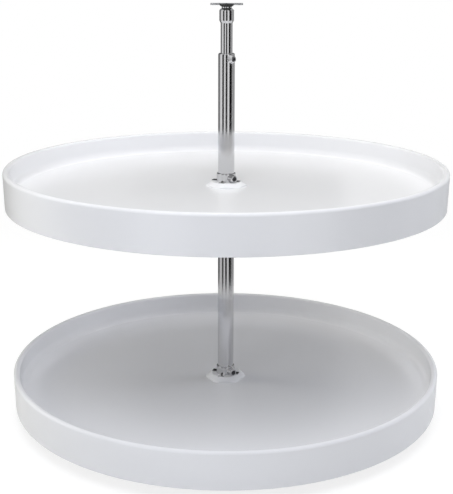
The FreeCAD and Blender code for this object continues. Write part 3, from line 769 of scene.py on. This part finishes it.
class PANTRY_OT_trays(Operator):
    """Model the two moulded trays"""

    bl_idname = "pantry.trays"
    bl_label = "Trays"

    def execute(self, context):
        scene = context.scene
        sizes, hub = scene.pantry_trays, scene.pantry_hub
        tray = tray_shell(sizes, hub)
        combine(tray, "UNION", tray_ribs(sizes, hub))
        combine(tray, "UNION", hub_pad(sizes, hub))
        bore = rod("bore", hub.bore, (0, 0, -OVERLAP), (0, 0, sizes.depth), sides=128)
        combine(tray, "DIFFERENCE", bore)
        combine(tray, "DIFFERENCE", tab_slots(sizes, hub))
        dress_both((tray, "shelf", "white_polymer", "tray"))
        return {"FINISHED"}


# Collars, rings and set screws


def clamp_collar(sizes, hub, post):
    """The chromed sleeve with its screw boss and flat tabs, standing at height 0."""
    collar = turned("collar", [
        (hub.collar_bore, hub.collar_foot),
        (hub.collar_radius, hub.collar_foot, hub.ring_edge),
        (hub.collar_radius, hub.collar_top, hub.collar_round),
        (hub.collar_bore, hub.collar_top, hub.ring_edge),
    ], steps=192)
    add_boss(collar, post, hub, hub.collar_radius, hub.screw_level)
    tab_level = sizes.depth - sizes.floor_drop + hub.pad_rise - hub.slot_depth
    tabs = star("tabs", hub.tab_count, hub.tab_width, hub.collar_bore + OVERLAP, hub.tab_reach,
                tab_level, tab_level + hub.tab_thickness, hub.tab_round)
    turn_to(tabs, hub.tab_angle)
    combine(collar, "UNION", tabs)
    turn_to(collar, hub.screw_azimuth)
    return collar


def support_ring(hub):
    """The nylon ring on the collar's foot, notched for a spanner."""
    ring = turned("ring", [
        (hub.collar_radius, hub.collar_foot),
        (hub.ring_radius, hub.collar_foot, hub.ring_edge),
        (hub.ring_radius, hub.base, hub.ring_edge),
        (hub.collar_radius, hub.base),
    ])
    notches = star("notches", hub.notch_count, hub.notch_width, hub.ring_radius - hub.notch_depth,
                   hub.ring_radius + OVERLAP, 0, hub.base + OVERLAP)
    combine(ring, "DIFFERENCE", notches)
    return ring


def set_screw(name, post, boss, inner_surface, outer_surface, level):
    """A socket set screw that points at the post's axis from its boss's azimuth."""
    start = inner_surface + post.screw_gap
    end = outer_surface + boss.boss_rise + post.screw_proud
    radius = boss.thread_radius - post.screw_clearance
    screw = turned(name, [
        (0, start),
        (radius - post.screw_point, start),
        (radius, start + post.screw_point),
        (radius, end, radius * SCREW_RIM),
        (0, end),
    ], steps=48)
    corner = post.socket_width / math.sqrt(3)
    socket = rod("socket", corner, (0, 0, end - post.socket_depth), (0, 0, end + OVERLAP), sides=6)
    combine(screw, "DIFFERENCE", socket)
    aim = Matrix.Rotation(boss.screw_azimuth, 4, "Z") @ UPRIGHT_TO_FRONT
    screw.data.transform(Matrix.Translation((0, 0, level)) @ aim)
    return screw


class PANTRY_OT_collars(Operator):
    """Model the clamp collars, support rings and set screws of both trays"""

    bl_idname = "pantry.collars"
    bl_label = "Collars"

    def execute(self, context):
        scene = context.scene
        sizes, hub, post = scene.pantry_trays, scene.pantry_hub, scene.pantry_post
        screw = set_screw("screw_body", post, hub, post.radius, hub.collar_radius, hub.screw_level)
        dress_both(
            (clamp_collar(sizes, hub, post), "shelf", "chrome", "clamp_collar"),
            (support_ring(hub), "shelf", "white_nylon", "support_ring"),
            (screw, "screw", "screw_steel", "set_screw"),
        )
        return {"FINISHED"}


# The post


class PANTRY_OT_outer_post(Operator):
    """Model the outer tube with its rolled mouth and screw boss, and the lock screw"""

    bl_idname = "pantry.outer_post"
    bl_label = "Outer post"

    def execute(self, context):
        post = context.scene.pantry_post
        lip_underside = POST_HIGH.z - post.mouth_length
        tube = turned("outer_tube", [
            (post.bore, POST_LOW.z),
            (post.radius, POST_LOW.z),
            (post.radius, POST_HIGH.z, post.mouth_round),
            (post.mouth_radius, POST_HIGH.z),
            (post.mouth_radius, lip_underside),
            (post.bore, lip_underside),
        ], steps=192)
        add_boss(tube, post, post, post.radius, post.lock_level)
        turn_to(tube, post.screw_azimuth)
        dress(tube, "post", "chrome", "outer_post")
        screw = set_screw("lock_screw", post, post, post.inner_radius, post.radius, post.lock_level)
        dress(screw, "post_screw", "screw_steel", "post_lock_screw")
        return {"FINISHED"}


class PANTRY_OT_inner_post(Operator):
    """Model the inner tube with its swelled foot and its swelled, necked-in top"""

    bl_idname = "pantry.inner_post"
    bl_label = "Inner post"

    def execute(self, context):
        post = context.scene.pantry_post
        foot, top = INNER_LOW.z, INNER_HIGH.z
        guide_top = foot + post.guide_length
        bore = post.inner_radius - post.inner_wall
        swell_bore = post.swell_radius - post.inner_wall
        swell_top = post.swell_foot + post.swell_taper
        neck_bore = post.neck_radius - post.inner_wall
        flow = post.swell_taper * SWELL_FLOW
        tube = turned("inner_tube_body", [
            (swell_bore, foot),
            (post.guide_radius, foot),
            (post.guide_radius, guide_top, flow),
            (post.inner_radius, guide_top + post.swell_taper, flow),
            (post.inner_radius, post.swell_foot, flow),
            (post.swell_radius, swell_top, flow),
            (post.swell_radius, post.shoulder_foot, post.shoulder_round),
            (post.neck_radius, post.shoulder_top, post.neck_round),
            (post.neck_radius, top),
            (neck_bore, top),
            (neck_bore, post.shoulder_top - post.shoulder_inset),
            (swell_bore, post.shoulder_foot - post.shoulder_inset),
            (swell_bore, swell_top),
            (bore, post.swell_foot),
            (bore, guide_top + post.swell_taper),
            (swell_bore, guide_top),
        ])
        dress(tube, "inner_tube", "chrome", "inner_post")
        return {"FINISHED"}


# The top bracket and the base


def sunk_hole(name, far, neck, face, hole, head, steps):
    """A cutter for a hole that widens in a cone, from its neck to the head at a plate's face."""
    beyond = math.copysign(OVERLAP, face - far)
    return turned(name, [
        (0, far - beyond),
        (hole, far - beyond),
        (hole, neck),
        (head, face),
        (head, face + beyond),
        (0, face + beyond),
    ], steps)


def fixing_plate(name, node, pivot, thickness, corner, centre, count, hole, sink, sink_down):
    """A flat plate with rounded corners, and countersunk holes repeated round it from one."""
    low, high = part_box(node)
    high = Vector((high.x, high.y, low.z + thickness))
    plate = block(name, low, high)
    start_editing(plate)
    choose(plate, "EDGE", lambda e: abs(e.verts[0].co.z - e.verts[1].co.z) > PLACE)
    bpy.ops.mesh.bevel(offset=corner, segments=8, affect="EDGES")
    choose(plate, "EDGE", lambda e: abs(e.verts[0].co.z - e.verts[1].co.z) < PLACE)
    bpy.ops.mesh.bevel(offset=pivot.plate_edge, segments=2, affect="EDGES")
    stop_editing()
    face, far, up = (low.z, high.z, -1) if sink_down else (high.z, low.z, 1)
    cutter = sunk_hole("countersink", far, face - up * sink, face, hole, hole + sink, steps=48)
    cutter.data.transform(Matrix.Translation((*centre, 0)))
    combine(plate, "DIFFERENCE", repeat_round(cutter, count))
    return plate


class PANTRY_OT_top_bracket(Operator):
    """Model the top plate and the black washer whose channel it lies in"""

    bl_idname = "pantry.top_bracket"
    bl_label = "Top bracket"

    def execute(self, context):
        pivot = context.scene.pantry_pivots
        plate = fixing_plate("top_plate_body", "top_plate", pivot, TOP_HIGH.z - TOP_LOW.z,
                             pivot.top_corner, (pivot.top_spacing / 2, 0), 2, pivot.top_hole,
                             pivot.top_sink, sink_down=True)
        stud_hole = sunk_hole("stud_hole", TOP_LOW.z, TOP_LOW.z, TOP_HIGH.z, pivot.stud_radius,
                              pivot.stud_head, steps=64)
        combine(plate, "DIFFERENCE", stud_hole)
        dress(plate, "top_bracket", "zinc_plate", "top_plate")
        washer = turned("top_washer_body", [
            (pivot.stud_radius, WASHER_LOW.z),
            (pivot.dome_face, WASHER_LOW.z, pivot.dome_face_round),
            (pivot.dome_radius, WASHER_HIGH.z - pivot.dome_edge, pivot.dome_round),
            (pivot.dome_radius, WASHER_HIGH.z, pivot.dome_edge_round),
            (pivot.stud_radius, WASHER_HIGH.z),
        ])
        end = pivot.dome_radius + OVERLAP
        side = TOP_HIGH.y + pivot.channel_gap
        channel = block("channel", (-end, -side, TOP_LOW.z), (end, side, WASHER_HIGH.z + OVERLAP))
        combine(washer, "DIFFERENCE", channel)
        dress(washer, "top_bracket", "black_nylon", "top_washer")
        return {"FINISHED"}


class PANTRY_OT_base(Operator):
    """Model the base plate with its raised bearing seat"""

    bl_idname = "pantry.base"
    bl_label = "Base plate"

    def execute(self, context):
        pivot = context.scene.pantry_pivots
        centre = (pivot.base_spacing / 2, pivot.base_spacing / 2)
        plate = fixing_plate("base_plate_body", "base_plate", pivot, pivot.base_thickness,
                             pivot.base_corner, centre, 4, pivot.base_hole, pivot.base_sink,
                             sink_down=False)
        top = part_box("base_plate")[1].z
        seat = turned("seat", [
            (0, pivot.base_thickness / 2),
            (pivot.seat_radius, pivot.base_thickness / 2),
            (pivot.seat_radius, top, pivot.seat_round),
            (0, top),
        ])
        combine(plate, "UNION", seat)
        pin_hole = rod("pin_hole", pivot.pin_radius, (0, 0, -OVERLAP), (0, 0, top + OVERLAP))
        combine(plate, "DIFFERENCE", pin_hole)
        dress(plate, "base", "zinc_plate", "base_plate")
        return {"FINISHED"}


class PANTRY_OT_bearings(Operator):
    """Give the pivots, races, balls, cage, plug and bushing their finishes"""

    bl_idname = "pantry.bearings"
    bl_label = "Bearings"

    def execute(self, context):
        for entry in frame["record"]["subparts"]:
            paint(frame["nodes"][entry["node"]], entry["material_slot"])
        return {"FINISHED"}


# The studio


LAMP_TARGET = (0, 0, 0.25)
WHITE = (1.0, 1.0, 1.0, 1.0)
WARM = (1.05, 1.03, 0.92, 1.0)
COOL = (0.96, 0.99, 1.05, 1.0)
# Name, size, place and colour of each lamp
LAMPS = (
    ("overhead", 1.2, (0.1, 0.1, 1.9), WARM),
    ("ceiling", 4.0, (0.0, 0.0, 2.6), WHITE),
    ("front_high", 1.2, (0.0, -1.3, 2.0), COOL),
    ("front_low", 1.0, (0.0, -2.3, 0.85), COOL),
    ("front_left", 1.0, (-1.3, -2.0, 0.85), COOL),
    ("left", 1.2, (-2.0, 0.5, 0.6), WARM),
    ("right", 1.2, (2.0, 0.5, 0.6), COOL),
)
CARD_FOOT, CARD_MIDDLE, CARD_TOP = 0.08, 0.40, 2.6   # heights of a card's three tones
# Name, azimuth in degrees, distance, width, lower edge, and greys from the foot upwards
CARDS = (
    ("card_behind", 180, 2.2, 5.0, 0.62, (0.03, 0.03, 0.03)),
    ("card_back_left", -134, 0.66, 0.74, 0.0, (0.13, 0.20, 0.20)),
    ("card_left", -98, 0.64, 0.15, 0.0, (0.45, 0.60, 0.60)),
    ("card_front_left", -47, 0.66, 0.33, 0.0, (0.08, 0.08, 0.08)),
    ("card_front", 1, 0.66, 0.31, 0.0, (0.03, 0.04, 0.04)),
    ("card_front_right", 58, 0.66, 0.42, 0.0, (0.0, 0.01, 0.012)),
    ("card_right", 84, 0.64, 0.17, 0.0, (0.14, 0.26, 0.26)),
    ("card_back_right", 127, 0.66, 0.82, 0.0, (0.38, 0.44, 0.44)),
)


def add_camera(stage):
    data = bpy.data.cameras.new("camera")
    data.lens = stage.lens
    camera = bpy.data.objects.new("camera", data)
    camera.location = (stage.camera_side, -stage.camera_distance, stage.camera_height)
    tilt = Matrix.Rotation(math.pi / 2 - stage.camera_pitch, 4, "X")
    camera.rotation_euler = (tilt @ Matrix.Rotation(stage.camera_roll, 4, "Z")).to_euler()
    bpy.context.collection.objects.link(camera)
    bpy.context.scene.camera = camera


def add_lamp(name, energy, size, place, tint):
    """A square lamp that faces the trays."""
    data = bpy.data.lights.new(name, "AREA")
    data.energy = energy
    data.size = size
    data.color = tint[:3]
    lamp = bpy.data.objects.new(name, data)
    lamp.location = place
    lamp.rotation_euler = (Vector(LAMP_TARGET) - Vector(place)).to_track_quat("-Z", "Y").to_euler()
    lamp.visible_glossy = False
    bpy.context.collection.objects.link(lamp)


def rays_that_see(shader):
    """1 for the camera's own rays and for mirrored and transmitted ones, else 0."""
    camera, glossy, transmission = (shader.node("LightPath", output=f"Is {kind} Ray")
                                    for kind in ("Camera", "Glossy", "Transmission"))
    return shader.maths("MAXIMUM", shader.maths("MAXIMUM", camera, glossy), transmission)


def add_world():
    """White to the eye and in mirrors, and dark for everything else, which the lamps light."""
    world = bpy.data.worlds.new("studio")
    bpy.context.scene.world = world
    shader = Shader(world)
    sockets = {"Color": WHITE, "Strength": rays_that_see(shader)}
    shader.output(shader.node("Background", None, sockets), "OutputWorld")


def add_floor(stage):
    """A wide white floor that keeps the object's shadow and fades to plain white far away; near the
    object, mirrors see it with a painted shadow, its glow lowered.
    """
    floor = add_primitive("studio_floor", "plane", size=stage.floor_size)
    shader = new_shader("studio_floor")
    paper, lit = (shader.node("BsdfDiffuse", None, {"Color": (grey, grey, grey, 1)})
                  for grey in (stage.floor_white, stage.floor_shade))
    mirrored = shader.node("LightPath", output="Is Glossy Ray")
    # For mirrors the glow is lowered near the object: a painted shadow of the object on the floor
    glow = shader.glow(WHITE, stage.floor_glow + -stage.mirror_loss * mirrored)
    # The sockets of Add Shader and Mix Shader are numbered, because their names repeat
    near = shader.node("AddShader", None, {0: lit, 1: glow})
    away = shader.node("VectorMath", {"operation": "LENGTH"}, {0: shader.place()}, "Value")
    spread = {"Value": away, "From Min": stage.fade_start, "From Max": stage.fade_end}
    fade = shader.node("MapRange", {"interpolation_type": "SMOOTHSTEP"}, spread)
    shown = shader.node("MixShader", None, {0: fade, 1: near, 2: shader.glow(WHITE)})
    seen = {0: rays_that_see(shader), 1: paper, 2: shown}
    shader.output(shader.node("MixShader", None, seen))
    floor.data.materials.append(shader.owner)


def add_card(name, azimuth, distance, width, low, greys):
    """An upright card that only mirrors see, toned by height, standing round the object."""
    card = add_primitive(name, "plane", size=1)
    turn = math.radians(azimuth)
    tall = CARD_TOP - low
    card.scale = (width, tall, 1)
    card.location = (distance * math.sin(turn), -distance * math.cos(turn), low + tall / 2)
    card.rotation_euler = (math.pi / 2, 0, turn)
    for kind in ("camera", "diffuse", "shadow", "transmission"):
        setattr(card, f"visible_{kind}", False)
    shader = new_shader(name)
    up = shader.node("SeparateXYZ", None, {"Vector": shader.place()}, "Y")
    heights = (max(low, CARD_FOOT), max(low, CARD_MIDDLE), CARD_TOP)
    stops = [((height - low) / tall, (grey, grey, grey, 1)) for height, grey in zip(heights, greys)]
    # A plane's own height runs from -0.5 to 0.5
    tone = shader.node("ValToRGB", {"stops": stops}, {"Fac": up + 0.5}, "Color")
    shader.output(shader.glow(tone))
    card.data.materials.append(shader.owner)


class PANTRY_OT_stage(Operator):
    """Set up the camera, the floor, the lamps and the cards that the chrome mirrors"""

    bl_idname = "pantry.stage"
    bl_label = "Studio"

    def execute(self, context):
        stage = context.scene.pantry_stage
        add_camera(stage)
        add_world()
        add_floor(stage)
        for name, size, place, tint in LAMPS:
            add_lamp(name, getattr(stage, name), size, place, tint)
        for card in CARDS:
            add_card(*card)
        context.scene.view_settings.view_transform = "Standard"
        return {"FINISHED"}


# The add-on

OPERATORS = (
    PANTRY_OT_stage,
    PANTRY_OT_bearings,
    PANTRY_OT_base,
    PANTRY_OT_outer_post,
    PANTRY_OT_inner_post,
    PANTRY_OT_top_bracket,
    PANTRY_OT_trays,
    PANTRY_OT_collars,
)


class PANTRY_PT_panel(Panel):
    """Lists the pieces and the studio"""

    bl_label = "Pantry Lazy Susan"
    bl_idname = "PANTRY_PT_panel"
    bl_space_type = "VIEW_3D"
    bl_region_type = "UI"
    bl_category = "Pantry"

    def draw(self, context):
        for item in OPERATORS:
            self.layout.operator(item.bl_idname)


GROUPS = {
    "pantry_trays": PantryTraySizes,
    "pantry_hub": PantryHubSizes,
    "pantry_post": PantryPostSizes,
    "pantry_pivots": PantryPivotSizes,
    "pantry_finishes": PantryFinishes,
    "pantry_stage": PantryStageSettings,
}


CLASSES = (*GROUPS.values(), *OPERATORS, PANTRY_PT_panel)


def register():
    for item in CLASSES:
        bpy.utils.register_class(item)
    for name, group in GROUPS.items():
        setattr(bpy.types.Scene, name, PointerProperty(type=group))


def unregister():
    for name in GROUPS:
        delattr(bpy.types.Scene, name)
    for item in reversed(CLASSES):
        bpy.utils.unregister_class(item)


def main():
    """Build everything in order."""
    register()
    for item in OPERATORS:
        getattr(bpy.ops.pantry, item.bl_idname.split(".")[1])()


if __name__ == "__main__":
    main()
